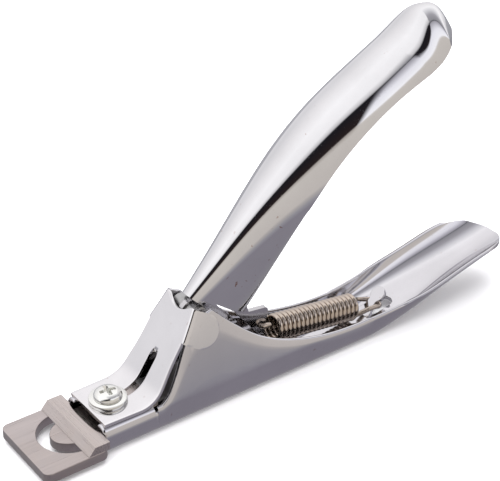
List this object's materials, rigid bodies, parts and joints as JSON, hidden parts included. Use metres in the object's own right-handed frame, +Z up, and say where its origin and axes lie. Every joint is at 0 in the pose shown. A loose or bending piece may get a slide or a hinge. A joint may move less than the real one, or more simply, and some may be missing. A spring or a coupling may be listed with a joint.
{
  "type": "nail tip cutter",
  "caption": "Hand-held guillotine cutter for artificial nail tips, with a sliding blade over a windowed die plate and a sprung squeeze handle.",
  "frame": {"origin": "centre of the whole tool's box in plan, on the plane that the lower handle's flat floor rests on", "axes": "+X from the cutting end towards the ends of the handles, +Y across the tool, +Z up"},
  "size_m": [0.128, 0.019, 0.0738],
  "materials": {
    "lower_handle": "polished",
    "die_plate": "ground",
    "blade": "ground",
    "slide_plate": "satin",
    "cover_plate": "polished",
    "lock_screw": "zinc plated",
    "screw_washer": "zinc plated",
    "pivot_pin": "turned",
    "lever_spacers": "turned",
    "lever_plate": "polished",
    "upper_handle": "polished",
    "return_spring": "nickel plated wire"
  },
  "bodies": {
    "frame": {"lower_handle": "lower_handle", "die_plate": "die_plate", "cover_plate": "cover_plate", "lock_screw": "lock_screw", "screw_washer": "screw_washer", "pivot_pin": "pivot_pin", "lever_spacers": "lever_spacers", "return_spring": "return_spring"},
    "handle": {"upper_handle": "upper_handle", "lever_plate": "lever_plate"},
    "cutter": {"blade": "blade", "slide_plate": "slide_plate"}
  },
  "joints": [
    {"name": "squeeze", "type": "hinge", "parent": "frame", "child": "handle", "pos_m": [-0.024, 0, 0.0205], "axis": [0, 1, 0], "range_deg": [0, 24], "stiffness_Nm_per_rad": 0.6, "springref_deg": -8.59, "deforming": ["return_spring"]},
    {"name": "blade_slide", "type": "slide", "parent": "frame", "child": "cutter", "axis": [-1, 0, 0], "range_m": [0, 0.0068]}
  ],
  "couplings": [
    {"joint": "blade_slide", "follows": "squeeze", "m_per_rad": 0.01588}
  ]
}
